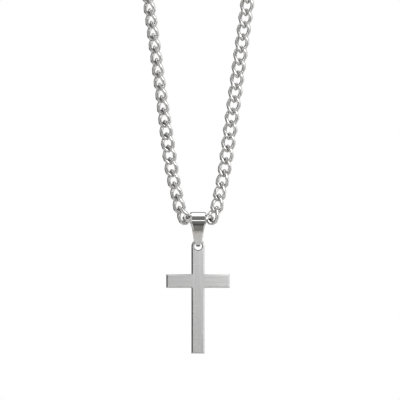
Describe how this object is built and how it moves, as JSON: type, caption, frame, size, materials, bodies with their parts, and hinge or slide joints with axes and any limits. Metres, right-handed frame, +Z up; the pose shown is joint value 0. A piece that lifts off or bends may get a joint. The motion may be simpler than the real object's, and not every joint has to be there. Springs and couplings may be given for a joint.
{
  "type": "cross pendant necklace",
  "caption": "Brushed metal cross on a tapered polished bail, hanging from a whole curb chain with a closed clasp at the nape.",
  "frame": {"origin": "middle of the underside of the clasp, at the top of the loop, where the necklace hangs", "axes": "+Z up along the hanging loop, X across it, the front of the cross faces -Y"},
  "size_m": [0.0747, 0.0076, 0.2904],
  "materials": {
    "cross_steel": "satin, brushed across the bars",
    "bail_steel": "polished",
    "chain_steel": "polished",
    "clasp_steel": "polished"
  },
  "bodies": {
    "chain": {"chain_left": "chain_steel", "chain_right": "chain_steel", "clasp": "clasp_steel", "clasp_ring": "clasp_steel", "end_ring": "clasp_steel"},
    "bail": {"bail": "bail_steel"},
    "cross": {"cross": "cross_steel"}
  },
  "joints": [
    {"name": "bail_swing", "type": "hinge", "parent": "chain", "child": "bail", "pos_m": [0, 0, -0.24846], "axis": [1, 0, 0], "range_deg": [-75, 75]},
    {"name": "cross_swing", "type": "hinge", "parent": "bail", "child": "cross", "pos_m": [0, 0, -0.25338], "axis": [1, 0, 0], "range_deg": [-60, 60]}
  ]
}
